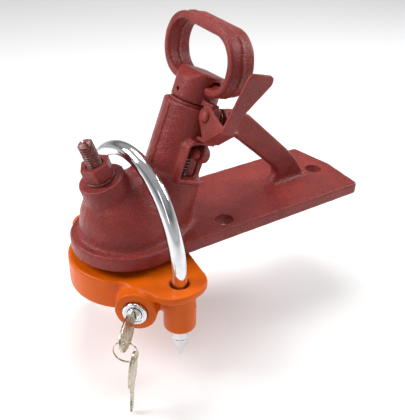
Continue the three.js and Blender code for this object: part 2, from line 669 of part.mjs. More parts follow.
function keyOutline(tip) {
  const shape = new THREE.Shape();
  shape.moveTo(-2.9, tip + 2);
  shape.lineTo(-1, tip);
  shape.lineTo(2.9, tip + 1.5);
  shape.lineTo(2.9, 4);
  shape.lineTo(4.4, 4);
  shape.lineTo(4.4, 9);
  shape.bezierCurveTo(11, 12, 12.5, 20, 11.5, 28);
  shape.bezierCurveTo(10.5, 38, 6, KEY_END_Z, 0, KEY_END_Z);
  shape.bezierCurveTo(-6, KEY_END_Z, -10.5, 38, -11.5, 28);
  shape.bezierCurveTo(-12.5, 20, -11, 12, -4.4, 9);
  shape.lineTo(-4.4, 4);
  shape.lineTo(-2.9, 4);
  shape.closePath();
  return shape;
}

function keySolid(tip) {
  const blank = placed(sideSlab(keyOutline(tip), -KEY_T / 2, KEY_T / 2, 6));
  const hole = placed(roundBar(2.6, -5, 5, 16), frameAt([0, 0, KEY_HOLE_Z], turnY(90 * DEG)));
  return cut(blank, hole);
}

function keyRing() {
  return placed(new THREE.TorusGeometry(KEY_RING_R, KEY_WIRE_R, 6, 32));
}

// Assembly

function piece(name, solid, material) {
  const mesh = new THREE.Mesh(toGeometry(solid), material);
  mesh.name = name;
  return mesh;
}

function groupAt(frame, ...children) {
  const group = new THREE.Group();
  frame.decompose(group.position, group.quaternion, group.scale);
  group.add(...children);
  return group;
}

const adjuster = groupAt(bossFrame,
  piece('adjusting_screw', adjustingScrew(), cast()),
  piece('jam_nut', jamNut(), cast()),
  piece('lock_washer', lockWasher(), steel()),
  piece('ball_shoe', ballShoe(), steel()));

const triggerGroup = groupAt(frameAt(TRIGGER_PIVOT),
  piece('trigger', trigger(), cast()),
  piece('trigger_rivet', triggerRivet(), cast()),
  piece('trigger_spring', triggerSpring(), steel()));

const plungerGroup = groupAt(tubeFrame,
  piece('plunger', plunger(), cast()),
  piece('plunger_head', plungerHead(), cast()),
  piece('head_pin', headPin(), steel()),
  piece('plunger_spring', plungerSpring(), steel()),
  piece('keeper_pin', keeperPin(), cast()),
  piece('keeper_collar', keeperCollar(), cast()),
  groupAt(ringFrame(), piece('pull_ring', pullRing(), cast())),
  triggerGroup);

const spareHole = [
  KEY_RING_R * (Math.sin(KEY_TURN) + Math.sin(SPARE_ON_RING)),
  -KEY_RING_R * (Math.cos(KEY_TURN) + Math.cos(SPARE_ON_RING)),
  KEY_HOLE_Z,
];
const ringCentre = [KEY_RING_R * Math.sin(KEY_TURN), -KEY_RING_R * Math.cos(KEY_TURN), KEY_HOLE_Z];
const spareHang = turnZ(-4 * DEG).multiply(turnY(5 * DEG)).multiply(turnX(-90 * DEG)).multiply(frameAt([0, 0, -KEY_HOLE_Z]));

const cylinderGroup = groupAt(barrelFrame,
  piece('cylinder_shell', cylinderShell(), chrome()),
  piece('shell_pin', shellPin(), steel()),
  piece('plug_cam', plugCam(), steel()),
  piece('locking_bolt', lockingBolt(), steel()),
  piece('bolt_bore_plug', boltBorePlug(), orange()),
  groupAt(turnZ(KEY_TURN), piece('lock_plug', lockPlug(), chrome()), piece('key', keySolid(KEY_TIP_Z), nickel())),
  groupAt(frameAt(ringCentre), piece('key_ring', keyRing(), nickel())),
  groupAt(frameAt(spareHole, spareHang), piece('spare_key', keySolid(SPARE_TIP_Z), nickel())));

const lock = groupAt(lockFrame,
  piece('lock_body', lockBody(), orange()),
  piece('ball_insert', ballInsert(), orange()),
  piece('insert_bolt', insertBolt(), steel()),
  piece('shackle', shackle(), chrome()),
  cylinderGroup);

const coupler = groupAt(new THREE.Matrix4(), piece('coupler_housing', housing(), cast()), adjuster, plungerGroup);

export default groupAt(frameAt([-ORIGIN_X, 0, 0]), coupler, lock);
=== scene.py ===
"""Looks of a flat-mount trailer coupler with a shackle lock fitted on its ball socket.

Castings are built as smooth signed-distance fields in millimetres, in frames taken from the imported
record's joints, and meshed here. Bars, springs and rings are swept, and round pieces are turned.
"""

import json
import math

import bpy
import numpy as np
from mathutils import Matrix, Vector


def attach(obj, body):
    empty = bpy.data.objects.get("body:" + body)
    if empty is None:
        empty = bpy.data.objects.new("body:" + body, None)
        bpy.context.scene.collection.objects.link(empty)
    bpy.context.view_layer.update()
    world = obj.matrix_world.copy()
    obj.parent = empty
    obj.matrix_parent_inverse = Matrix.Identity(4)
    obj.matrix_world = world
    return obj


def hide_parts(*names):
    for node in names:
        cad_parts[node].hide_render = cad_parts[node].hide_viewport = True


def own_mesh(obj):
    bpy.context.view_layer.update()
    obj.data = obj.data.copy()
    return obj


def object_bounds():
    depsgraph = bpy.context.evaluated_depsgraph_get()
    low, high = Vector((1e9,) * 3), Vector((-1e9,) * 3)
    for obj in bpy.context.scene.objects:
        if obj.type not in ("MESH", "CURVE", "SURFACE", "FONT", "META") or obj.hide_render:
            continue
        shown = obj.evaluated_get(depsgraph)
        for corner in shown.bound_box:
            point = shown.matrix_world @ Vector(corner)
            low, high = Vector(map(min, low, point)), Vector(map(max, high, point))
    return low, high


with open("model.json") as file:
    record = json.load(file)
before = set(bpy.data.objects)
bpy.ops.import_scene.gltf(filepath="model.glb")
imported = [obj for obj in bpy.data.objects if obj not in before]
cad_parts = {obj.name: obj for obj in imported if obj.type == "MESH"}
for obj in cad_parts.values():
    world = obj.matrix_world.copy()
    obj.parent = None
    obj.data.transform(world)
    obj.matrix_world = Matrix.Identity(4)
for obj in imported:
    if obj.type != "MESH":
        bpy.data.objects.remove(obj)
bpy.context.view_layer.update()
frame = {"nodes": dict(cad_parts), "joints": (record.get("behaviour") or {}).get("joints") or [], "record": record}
JOINTS = {joint["name"]: joint for joint in frame["joints"]}
COARSE = 1.0
MM = 0.001
DEG = math.pi / 180


# Frames: an origin in millimetres and three unit axes, as rows


def unit(vector):
    vector = np.asarray(vector, float)
    return vector / np.linalg.norm(vector)


def at_joint(name):
    return np.array(JOINTS[name]["pos_m"]) / MM


def axis_of(name):
    return unit(JOINTS[name]["axis"])


def moved(placing, x, y, z):
    """The same axes with the origin moved by x, y, z along them."""
    origin, axes = placing
    return origin + np.array([x, y, z], float) @ axes, axes


def turned_about(placing, axis, angle):
    """The placing turned about one of its own axes, 0, 1 or 2."""
    origin, axes = placing
    spin = np.array(Matrix.Rotation(angle, 3, Vector([float(i == axis) for i in range(3)])))
    return origin, spin.T @ axes


def to_row(placing, points):
    origin, axes = placing
    return np.asarray(points, float) @ axes + origin


ROW = (np.zeros(3), np.eye(3))
up_tube = axis_of("plunger_lift")
across_tube = np.array([up_tube[2], 0, -up_tube[0]])
trigger_at = at_joint("trigger_squeeze")
TRIGGER_UP = 107.5
TRIGGER_OUT = 33.0
tube_foot = trigger_at - TRIGGER_UP * up_tube + np.array([0, TRIGGER_OUT, 0])
TUBE = (tube_foot, np.array([across_tube, [0, 1, 0], up_tube]))
TRIGGER = (trigger_at, TUBE[1])
out_of_boss = axis_of("adjusting_screw_turn")
across_boss = [out_of_boss[2], 0, -out_of_boss[0]]
BOSS = (at_joint("adjusting_screw_turn"), np.array([across_boss, [0, 1, 0], out_of_boss]))
ring_bar = axis_of("ring_fold")
ring_up = unit(np.cross(unit(np.cross(ring_bar, up_tube)), ring_bar))
RING_LEAN = -12.7 * DEG
ring_square = unit(np.cross(ring_bar, ring_up))
lean_up = ring_up * math.cos(RING_LEAN) + ring_square * math.sin(RING_LEAN)
RING = (at_joint("ring_fold"), np.array([unit(np.cross(ring_bar, lean_up)), ring_bar, lean_up]))
out_of_barrel = axis_of("key_turn")
BARREL = (at_joint("key_turn"), np.array([np.cross([0, 0, 1], out_of_barrel), [0, 0, 1], out_of_barrel]))
BALL_X = at_joint("lock_swivel")[0]
LOCK_TURN = 7.5 * DEG
lock_x = np.array([math.cos(LOCK_TURN), math.sin(LOCK_TURN), 0])
LOCK = (np.array([BALL_X, 0, 0]), np.array([lock_x, np.cross([0, 0, 1], lock_x), [0, 0, 1]]))


# Distance fields


class Field:
    """Sample points on a regular grid over a box, in some frame's own coordinates."""

    def __init__(self, low, high, step, placing=ROW):
        self.low = np.array(low, float)
        self.step = step
        self.placing = placing
        steps = [np.arange(a, b + step, step, dtype=np.float32) for a, b in zip(low, high)]
        self.own = (steps[0][:, None, None], steps[1][None, :, None], steps[2][None, None, :])

    def seen_from(self, other):
        """The grid's points in another frame's coordinates."""
        origin, axes = self.placing
        other_origin, other_axes = other
        turn = axes @ other_axes.T
        shift = (origin - other_origin) @ other_axes.T
        seen = []
        for column in range(3):
            total = np.float32(shift[column])
            for row in range(3):
                if abs(turn[row, column]) > 1e-6:
                    total = total + np.float32(turn[row, column]) * self.own[row]
            seen.append(total)
        return tuple(seen)


def union(a, b, blend=0.0):
    if blend <= 0:
        return np.minimum(a, b)
    share = np.clip(0.5 + 0.5 * (b - a) / blend, 0, 1)
    return b + (a - b) * share - blend * share * (1 - share)


def common(a, b, blend=0.0):
    return -union(-a, -b, blend)


def without(a, b, blend=0.0):
    return common(a, -b, blend)


def rounded(edge, *walls):
    """The space inside all the walls, with edges rounded to the radius edge."""
    parts = [wall + edge for wall in walls]
    inside = parts[0]
    outside = np.maximum(parts[0], 0) ** 2
    for part in parts[1:]:
        inside = np.maximum(inside, part)
        outside = outside + np.maximum(part, 0) ** 2
    return np.minimum(inside, 0) + np.sqrt(outside) - edge


def between(value, low, high):
    return np.abs(value - (low + high) / 2) - (high - low) / 2


def cylinder(point, radius, low, high, edge=0.0, top_radius=None):
    x, y, z = point
    slope = 0.0 if top_radius is None else (top_radius - radius) / (high - low)
    wall = (np.hypot(x, y) - radius - slope * (z - low)) / math.hypot(1, slope)
    return rounded(edge, wall, between(z, low, high))


def box(point, x_span, y_span, z_span, edge=0.0):
    return rounded(edge, *(between(value, *span) for value, span in zip(point, (x_span, y_span, z_span))))


def ball(point, radius):
    x, y, z = point
    return np.sqrt(x * x + y * y + z * z) - radius


def polygon(u, v, corners):
    """Signed distance to a flat polygon, at points u, v."""
    corners = np.asarray(corners, np.float32)
    distance = None
    sign = 1.0
    for (ax, ay), (bx, by) in zip(corners, np.roll(corners, 1, axis=0)):
        ex, ey = bx - ax, by - ay
        wx, wy = u - ax, v - ay
        share = np.clip((wx * ex + wy * ey) / (ex * ex + ey * ey), 0, 1)
        square = (wx - ex * share) ** 2 + (wy - ey * share) ** 2
        distance = square if distance is None else np.minimum(distance, square)
        above, below, left = v >= ay, v < by, ex * wy > ey * wx
        sign = np.where((above & below & left) | (~above & ~below & ~left), -sign, sign)
    return sign * np.sqrt(distance)


def bezier(*knots, steps=10):
    """Points along a curve of any degree, without its last one."""
    points = []
    for share in np.linspace(0, 1, steps, endpoint=False):
        level = [np.array(knot, float) for knot in knots]
        while len(level) > 1:
            level = [a + (b - a) * share for a, b in zip(level, level[1:])]
        points.append(level[0])
    return points


# Meshing


EDGES = [((0, 0, 0), axis, off) for axis in range(3) for off in ((0, 0), (0, 1), (1, 0), (1, 1))]


def surface(values, low, step):
    """Vertices and quads where the field changes sign: one vertex per crossed cell."""
    inside = values < 0
    cells = tuple(n - 1 for n in values.shape)
    total = np.zeros(cells + (3,), np.float32)
    count = np.zeros(cells, np.int16)
    for _, axis, (first, second) in EDGES:
        others = [i for i in range(3) if i != axis]
        start = [0, 0, 0]
        start[others[0]], start[others[1]] = first, second
        here = tuple(slice(s, s + n) for s, n in zip(start, cells))
        onward = [s + (i == axis) for i, s in enumerate(start)]
        there = tuple(slice(s, s + n) for s, n in zip(onward, cells))
        crossed = inside[here] != inside[there]
        a, b = values[here][crossed], values[there][crossed]
        share = a / (a - b)
        for i in range(3):
            total[..., i][crossed] += start[i] + (share if i == axis else 0)
        count[crossed] += 1
    active = count > 0
    index = np.full(cells, -1, np.int64)
    index[active] = np.arange(active.sum())
    corner = np.argwhere(active)
    points = (corner + total[active] / count[active][:, None]) * step + low
    quads = []
    for axis in range(3):
        u, v = [(1, 2), (2, 0), (0, 1)][axis]
        span = [slice(1, -1)] * 3
        span[axis] = slice(0, -1)
        ahead = list(span)
        ahead[axis] = slice(1, None)
        a, b = inside[tuple(span)], inside[tuple(ahead)]
        crossed = np.argwhere(a != b)
        rising = a[a != b]
        crossed[:, u] += 1
        crossed[:, v] += 1
        ring = []
        for du, dv in ((1, 1), (0, 1), (0, 0), (1, 0)):
            cell = crossed.copy()
            cell[:, u] -= du
            cell[:, v] -= dv
            ring.append(index[tuple(cell.T)])
        ring = np.stack(ring, 1)
        ring[~rising] = ring[~rising][:, ::-1]
        quads.append(ring)
    return points, np.concatenate(quads)


def add_mesh(name, points, faces, placing=ROW, smooth=True):
    mesh = bpy.data.meshes.new(name)
    mesh.from_pydata((to_row(placing, points) * MM).tolist(), [], [list(face) for face in faces])
    mesh.validate()
    mesh.update()
    piece = bpy.data.objects.new(name, mesh)
    bpy.context.scene.collection.objects.link(piece)
    mesh.polygons.foreach_set("use_smooth", np.full(len(mesh.polygons), smooth))
    return piece


def apply_modifiers(piece):
    bpy.context.view_layer.update()
    shaped = bpy.data.meshes.new_from_object(piece.evaluated_get(bpy.context.evaluated_depsgraph_get()))
    piece.modifiers.clear()
    piece.data = shaped
    return piece


def cast(name, low, high, step, shape, placing=ROW, keep=1.0):
    """A piece meshed from a distance field over its box; keep thins out its triangles."""
    field = Field(low, high, step * COARSE, placing)
    points, quads = surface(np.ascontiguousarray(shape(field), np.float32), field.low, field.step)
    piece = add_mesh(name, points, quads, placing)
    if keep < 1:
        thin = piece.modifiers.new("thin", "DECIMATE")
        thin.ratio = keep
        apply_modifiers(piece)
        piece.data.polygons.foreach_set("use_smooth", np.full(len(piece.data.polygons), True))
    return piece


def lathe(name, profile, placing, sides=64, wave=None):
    """A turned piece from [radius, height] pairs, from its bottom to its top."""
    angles = np.arange(sides) * 2 * math.pi / sides
    points, faces = [], []
    for radius, height in profile:
        r = np.full(sides, radius) if wave is None else wave(radius, height, angles)
        points.append(np.stack([r * np.cos(angles), r * np.sin(angles), np.full(sides, height)], 1))
    for level in range(len(profile) - 1):
        base = level * sides
        for i in range(sides):
            j = (i + 1) % sides
            faces.append((base + i, base + j, base + sides + j, base + sides + i))
    faces.append(tuple(reversed(range(sides))))
    faces.append(tuple(range((len(profile) - 1) * sides, len(profile) * sides)))
    return add_mesh(name, np.concatenate(points), faces, placing)


def sweep(name, path, radii, placing, sides=24, flat=1.0, closed=False):
    """A round bar along a path of points; radii is one number or one per point."""
    path = np.asarray(path, float)
    radii = np.full(len(path), radii) if np.isscalar(radii) else np.asarray(radii, float)
    tangents = np.gradient(path, axis=0)
    if closed:
        tangents = np.roll(path, -1, 0) - np.roll(path, 1, 0)
    tangents /= np.linalg.norm(tangents, axis=1)[:, None]
    side = np.cross(tangents[0], [0.31, 0.42, 0.85])
    points, faces = [], []
    angles = np.arange(sides) * 2 * math.pi / sides
    for centre, tangent, radius in zip(path, tangents, radii):
        side = unit(side - tangent * (side @ tangent))
        other = np.cross(tangent, side)
        offsets = np.outer(np.cos(angles), side) + np.outer(np.sin(angles) * flat, other)
        points.append(centre + radius * offsets)
    rings = len(path)
    for level in range(rings if closed else rings - 1):
        base, after = level * sides, ((level + 1) % rings) * sides
        for i in range(sides):
            j = (i + 1) % sides
            faces.append((base + i, base + j, after + j, after + i))
    if not closed:
        faces.append(tuple(reversed(range(sides))))
        faces.append(tuple(range((rings - 1) * sides, rings * sides)))
    return add_mesh(name, np.concatenate(points), faces, placing)


def show(piece, body, *nodes, slot, material):
    """The piece moves with its body and stands for its CAD nodes."""
    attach(piece, body)
    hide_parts(*nodes)
    piece.data.materials.clear()
    piece.data.materials.append(material)
    return piece


# Materials


def shader(name, colour, roughness, metallic=0.0, **more):
    material = bpy.data.materials.new(name)
    material.use_nodes = True
    surface_shader = material.node_tree.nodes["Principled BSDF"]
    surface_shader.inputs["Base Color"].default_value = (*colour, 1)
    surface_shader.inputs["Roughness"].default_value = roughness
    surface_shader.inputs["Metallic"].default_value = metallic
    for socket, value in more.items():
        surface_shader.inputs[socket.replace("_", " ")].default_value = value
    return material, surface_shader


def node(material, kind, **values):
    made = material.node_tree.nodes.new(kind)
    for key, value in values.items():
        if key in made.inputs.keys():
            made.inputs[key].default_value = value
        else:
            setattr(made, key, value)
    return made


def wire(material, source, target):
    material.node_tree.links.new(source, target)


def noise(material, scale, detail=3.0, stretch=(1, 1, 1), rough=0.5):
    """Noise over the object's own coordinates; scale is in features per metre."""
    where = node(material, "ShaderNodeTexCoord")
    spread = node(material, "ShaderNodeMapping")
    spread.inputs["Scale"].default_value = stretch
    pattern = node(material, "ShaderNodeTexNoise", Scale=scale, Detail=detail, Roughness=rough)
    wire(material, where.outputs["Object"], spread.inputs["Vector"])
    wire(material, spread.outputs["Vector"], pattern.inputs["Vector"])
    return pattern.outputs["Fac"]


def ramp(material, value, *stops):
    made = node(material, "ShaderNodeValToRGB")
    steps = made.color_ramp.elements
    while len(steps) < len(stops):
        steps.new(0.5)
    for step, (place, colour) in zip(steps, stops):
        step.position = place
        step.color = (*colour, 1) if len(colour) == 3 else colour
    wire(material, value, made.inputs["Fac"])
    return made.outputs["Color"]


def vary(material, face, socket, pattern, *stops):
    """A shader socket that follows a pattern through a ramp."""
    wire(material, ramp(material, pattern, *stops), face.inputs[socket])


def grey(value):
    return (value, value, value)


def mixed(material, share, first, second):
    made = node(material, "ShaderNodeMix", data_type="RGBA")
    colours = [socket for socket in made.inputs if socket.type == "RGBA"]
    wire(material, share, made.inputs[0])
    for socket, colour in zip(colours, (first, second)):
        if isinstance(colour, tuple):
            socket.default_value = (*colour, 1)
        else:
            wire(material, colour, socket)
    return [socket for socket in made.outputs if socket.type == "RGBA"][0]


def bump(material, surface_shader, *layers):
    """Layers of (height, distance in millimetres), one bump on another."""
    below = None
    for height, distance in layers:
        made = node(material, "ShaderNodeBump", Strength=1.0, Distance=distance * MM)
        wire(material, height, made.inputs["Height"])
        if below is not None:
            wire(material, below, made.inputs["Normal"])
        below = made.outputs["Normal"]
    wire(material, below, surface_shader.inputs["Normal"])


def edges(material, low, high):
    """White on convex edges, black on flats and in corners."""
    sharp = node(material, "ShaderNodeNewGeometry").outputs["Pointiness"]
    return ramp(material, sharp, (low, grey(0)), (high, grey(1)))


def cast_paint():
    """Red-oxide enamel on a sand casting: pitted grain under semi-gloss paint, paler on convex edges as a painted
    highlight.
    """
    material, face = shader("cast_paint", (0.25, 0.045, 0.038), 0.42, Specular_IOR_Level=0.30)
    deep, pale = (0.195, 0.020, 0.016), (0.275, 0.032, 0.026)
    broad = ramp(material, noise(material, 45, 4), (0.32, deep), (0.68, pale))
    speck = ramp(material, noise(material, 900, 2), (0.38, (0.35, 0.22, 0.2)), (0.52, grey(1)))
    shade = node(material, "ShaderNodeMix", data_type="RGBA", blend_type="MULTIPLY")
    shade.inputs[0].default_value = 0.35
    colours = [socket for socket in shade.inputs if socket.type == "RGBA"]
    wire(material, broad, colours[0])
    wire(material, speck, colours[1])
    tinted = [socket for socket in shade.outputs if socket.type == "RGBA"][0]
    # Convex edges are painted a paler red: a painted highlight along them.
    edge_highlight = mixed(material, edges(material, 0.52, 0.60), tinted, (0.34, 0.060, 0.048))
    wire(material, edge_highlight, face.inputs["Base Color"])
    gloss = ramp(material, noise(material, 220, 3), (0.3, grey(0.24)), (0.7, grey(0.40)))
    wire(material, gloss, face.inputs["Roughness"])
    grain = noise(material, 420, 3, rough=0.6)
    pits = ramp(material, noise(material, 1100, 2), (0.35, grey(0)), (0.55, grey(1)))
    bump(material, face, (noise(material, 90, 2), 0.6), (grain, 0.5), (pits, 0.12))
    return material


def orange_coat():
    """Satin orange powder coat with a fine orange-peel surface and a painted highlight on convex edges."""
    material, face = shader("orange_paint", (0.78, 0.125, 0.004), 0.36, Specular_IOR_Level=0.2)
    tint = ramp(material, noise(material, 30, 3), (0.3, (0.58, 0.088, 0.0002)), (0.7, (0.68, 0.112, 0.0005)))
    # Convex edges are painted a brighter orange: a painted highlight along them.
    edge_highlight = mixed(material, edges(material, 0.53, 0.62), tint, (0.74, 0.13, 0.003))
    wire(material, edge_highlight, face.inputs["Base Color"])
    vary(material, face, "Roughness", noise(material, 160, 2), (0.3, grey(0.30)), (0.7, grey(0.43)))
    bump(material, face, (noise(material, 60, 2), 0.35), (noise(material, 700, 2), 0.10))
    return material


def chrome():
    """Bright chrome plate with faint wipe marks."""
    material, face = shader("chrome", (0.82, 0.83, 0.85), 0.07, 1.0)
    tint = ramp(material, noise(material, 120, 3), (0.3, (0.66, 0.67, 0.70)), (0.7, (0.80, 0.81, 0.83)))
    wire(material, tint, face.inputs["Base Color"])
    wipes = noise(material, 260, 4, (1, 1, 0.15))
    vary(material, face, "Roughness", wipes, (0.35, grey(0.04)), (0.7, grey(0.14)))
    bump(material, face, (noise(material, 35, 2), 0.10))
    return material


def plated_steel():
    """Zinc-plated steel with fine machining marks."""
    material, face = shader("steel", (0.50, 0.51, 0.52), 0.33, 1.0)
    dull, clean = (0.38, 0.385, 0.39), (0.58, 0.585, 0.59)
    vary(material, face, "Base Color", noise(material, 200, 4), (0.3, dull), (0.7, clean))
    vary(material, face, "Roughness", noise(material, 500, 3), (0.3, grey(0.26)), (0.7, grey(0.44)))
    bump(material, face, (noise(material, 1500, 2, (1, 1, 6)), 0.03))
    return material


def nickel():
    """Nickel-silver, slightly yellow, with fine scratches from use."""
    material, face = shader("nickel", (0.72, 0.67, 0.55), 0.24, 1.0)
    dull, clean = (0.40, 0.36, 0.26), (0.62, 0.57, 0.45)
    vary(material, face, "Base Color", noise(material, 250, 4), (0.3, dull), (0.7, clean))
    scratches = noise(material, 900, 3, (1, 0.1, 1))
    vary(material, face, "Roughness", scratches, (0.35, grey(0.16)), (0.7, grey(0.36)))
    bump(material, face, (noise(material, 2400, 2, (1, 0.08, 1)), 0.02))
    return material


def worn_paint():
    """Thin red paint on a thread, rubbed to bare steel along its crests."""
    material, face = shader("worn_thread", (0.20, 0.05, 0.045), 0.4)
    paint = ramp(material, noise(material, 500, 3), (0.35, (0.13, 0.03, 0.028)), (0.65, (0.26, 0.06, 0.052)))
    bare = ramp(material, noise(material, 350, 3), (0.50, grey(0)), (0.62, grey(1)))
    rubbed = node(material, "ShaderNodeMath", operation="MULTIPLY")
    wire(material, edges(material, 0.50, 0.58), rubbed.inputs[0])
    wire(material, bare, rubbed.inputs[1])
    wire(material, mixed(material, rubbed.outputs[0], paint, (0.42, 0.36, 0.34)), face.inputs["Base Color"])
    wire(material, rubbed.outputs[0], face.inputs["Metallic"])
    vary(material, face, "Roughness", noise(material, 600, 2), (0.3, grey(0.32)), (0.7, grey(0.55)))
    bump(material, face, (noise(material, 1200, 3), 0.06))
    return material


PAINT = cast_paint()
ORANGE = orange_coat()
CHROME = chrome()
STEEL = plated_steel()
NICKEL = nickel()
THREAD = worn_paint()
BY_SLOT = {
    "cast_paint": PAINT,
    "screw_steel": THREAD,
    "steel": STEEL,
    "orange_paint": ORANGE,
    "chrome": CHROME,
    "nickel": NICKEL,
}
for subpart in frame["record"]["subparts"]:
    carried = frame["nodes"][subpart["node"]]
    carried.data.materials.clear()
    carried.data.materials.append(BY_SLOT[subpart["material_slot"]])


# Coupler housing

PLATE_T = 11.5
PLATE_HALF = 47.9
RIM_R = 50.0
TAIL_CORNER = 84.5
TAIL_TIP = 89.8
BOLT_R = 8.35
FRONT_BOLT = (-68.0, 32.3)
TAIL_BOLT_X = 68.0
BALL_Z = 25.0
SOCKET_R = 30.3
DOME_R = 40.5
DOME_Z = 23.5
TUBE_R = 24.5
TUBE_TOP = 109.5
BORE_R = 20.4
BOSS_R = 19.7
STRUT_HALF = 5.2


def strut_outline():
    """Outline of the strut in x and z."""
    top = bezier((-72, 101.5), (-36, 103), (-20, 89.5)) + [(-20, 89.5)]
    foot = bezier((26, 46), (40, 32), (48, 17)) + [(48, 17), (56, 6), (8, 6), (10, 11)]
    inner = bezier((12, 17), (18, 23), (9, 32)) + [(9, 32), (-30, 67)]
    return [(-88, 90)] + top + foot + inner + bezier((-34, 70.5), (-47, 81), (-70, 83)) + [(-72, 83)]


def housing(field):
    x, y, z = field.own
    tube = field.seen_from(TUBE)
    boss = field.seen_from(BOSS)
    dome_at = (x - BALL_X, y, z)
    corner = 4.0
    edge = corner - PLATE_HALF
    inset = [(BALL_X, edge), (TAIL_CORNER - corner, edge), (TAIL_TIP - corner, 0)]
    inset += [(px, -py) for px, py in inset[1::-1]]
    flat = np.minimum(polygon(x, y, inset) - corner, np.hypot(x - BALL_X, y) - RIM_R + 0.6)
    plate = rounded(1.6, flat, between(z, 0, PLATE_T))
    rim = cylinder(dome_at, 49.6, 0, 13.4, 2.4)
    crown = union(ball((x - BALL_X, y, z - DOME_Z), DOME_R), cylinder(dome_at, DOME_R + 0.4, 4, DOME_Z))
    body = union(union(plate, rim, 1.0), crown, 6.0)
    body = union(body, cylinder(boss, 21.2, -44, 0, 1.4, BOSS_R), 1.8)
    barrel = union(cylinder(tube, TUBE_R, -8, TUBE_TOP, 1.3), cylinder(tube, 32.0, -12, 50, 3.0, 27.4), 3.5)
    pad_side = polygon(tube[0], tube[2], [(-13, 47.6), (13, 47.6), (13, 85.5), (-9, 85.5), (-13, 80)])
    pad = rounded(2.0, pad_side, between(tube[1], -31, -10))
    barrel = union(barrel, pad, 2.0)
    for side in (-1, 1):
        gusset = box(tube, (-31.8, -15), (side * 9 - 3.4, side * 9 + 3.4), (22, 50.5), 1.0)
        barrel = union(barrel, gusset, 0.8)
    barrel = union(barrel, box(tube, (-25.7, -18), (-3.8, 3.8), (20, TUBE_TOP - 2.5), 0.7), 0.7)
    strut = rounded(2.2, polygon(x, z, strut_outline()), between(y, -STRUT_HALF, STRUT_HALF))
    body = union(body, barrel, 9.0)
    body = union(body, strut, 7.0)
    body = union(body, box(tube, (-1, 7), (-26.2, -15), (90.6, 97), 0.8), 0.6)
    seam = common(between(y, -0.5, 0.5), body - 0.5, 0.4)
    body = union(body, common(seam, 13.6 - z), 0.5)
    ripple = np.sin(x * 0.31 + 1.3 * np.sin(y * 0.11)) * np.sin(y * 0.37 + z * 0.21) * np.sin(z * 0.33 + 0.7)
    body = common(body + 0.10 * ripple, -z)
    body = without(body, cylinder(dome_at, SOCKET_R, -3, BALL_Z), 1.0)
    body = without(body, ball((x - BALL_X, y, z - BALL_Z), SOCKET_R))
    body = without(body, cylinder(tube, BORE_R, 3.5, TUBE_TOP + 9), 0.8)
    body = without(body, cylinder(boss, 6.9, -60, 5), 0.5)
    body = without(body, cylinder(boss, 8.4, -60, -8.7))
    pocket = polygon(tube[0], tube[2], [(-11, 51.5), (22, 51.5), (22, 83.4), (-7.7, 83.4), (-11, 79.5)])
    body = without(body, rounded(0.5, pocket, between(tube[1], -40, -17)), 0.5)
    for hole_x, hole_y in (FRONT_BOLT, (FRONT_BOLT[0], -FRONT_BOLT[1]), (TAIL_BOLT_X, 0)):
        body = without(body, cylinder((x - hole_x, y - hole_y, z), BOLT_R, -4, 16), 0.9)
    return body


coupler = cast("coupler_casting", (-200, -52, -2), (92, 52, 124.5), 1.0, housing, keep=0.45)
show(coupler, "coupler", "coupler_housing", slot="cast_paint", material=PAINT)


# Adjusting screw, nut and washer, in the boss's frame

SCREW_R = 6.5
SCREW_TOP = 36.5
PITCH = 2.3


def thread(radius, height, angles):
    """Radius round one level of a thread."""
    if radius < SCREW_R:
        return np.full(len(angles), radius)
    phase = (height / PITCH - angles / (2 * math.pi)) % 1
    wave = np.abs(phase - 0.5) * 2
    return radius - 1.25 * np.clip((wave - 0.12) / 0.76, 0, 1)


def screw_profile():
    profile = [[SCREW_R - 1.2, -12]]
    profile += [[SCREW_R, height] for height in np.arange(-11.5, SCREW_TOP - 1.0, PITCH / 10)]
    tip = [[1.15, 1.0], [1.5, 0.3], [2.1, 0.0]]
    profile += [[SCREW_R - inward, SCREW_TOP - down] for inward, down in tip]
    return profile


def cut_box(piece, placing, low, high):
    """Takes a box out of a piece."""
    corners = [(x, y, z) for x in (low[0], high[0]) for y in (low[1], high[1]) for z in (low[2], high[2])]
    faces = [(0, 1, 3, 2), (4, 6, 7, 5), (0, 4, 5, 1), (2, 3, 7, 6), (0, 2, 6, 4), (1, 5, 7, 3)]
    tool = add_mesh("cutter", corners, faces, placing, smooth=False)
    modifier = piece.modifiers.new("cut", "BOOLEAN")
    modifier.operation = "DIFFERENCE"
    modifier.solver = "EXACT"
    modifier.object = tool
    apply_modifiers(piece)
    bpy.data.objects.remove(tool)
    return piece


screw = lathe("adjusting_stud", screw_profile(), BOSS, 64, thread)
cut_box(screw, BOSS, (-0.9, -8, SCREW_TOP - 3), (0.9, 8, SCREW_TOP + 1))
show(screw, "adjusting_screw", "adjusting_screw", slot="screw_steel", material=THREAD)


def hexagon(x, y, flats):
    wall = None
    for turn in range(3):
        angle = (30 + 60 * turn) * DEG
        across = np.abs(x * math.cos(angle) + y * math.sin(angle)) - flats / 2
        wall = across if wall is None else np.maximum(wall, across)
    return wall


NUT_FLATS = 23.0
NUT_FOOT = 2.6
NUT_TOP = 15.6
NUT_BORE_R = 6.9


def nut(field):
    x, y, z = field.own
    round_r = np.hypot(x, y)
    body = rounded(0.5, hexagon(x, y, NUT_FLATS), between(z, NUT_FOOT, NUT_TOP))
    cone_top = (round_r - 12.4) * 0.5 + (z - NUT_TOP) * 0.866
    cone_low = (round_r - 12.4) * 0.5 - (z - NUT_FOOT) * 0.866
    body = common(common(body, cone_top, 0.3), cone_low, 0.3)
    body = without(body, cylinder((x, y, z), NUT_BORE_R, 0, 20))
    return without(body, cylinder((x, y, z), NUT_BORE_R, 14.7, 16.5, 0, 8.9), 0.2)


def washer(field):
    x, y, z = field.own
    ring = rounded(0.4, np.abs(np.hypot(x, y) - 9.7) - 2.8, between(z, 0.35, 2.3))
    gap = np.maximum(np.abs(y + (z - 1.3) * 0.8) - 0.5, -x)
    return without(ring, gap, 0.1)


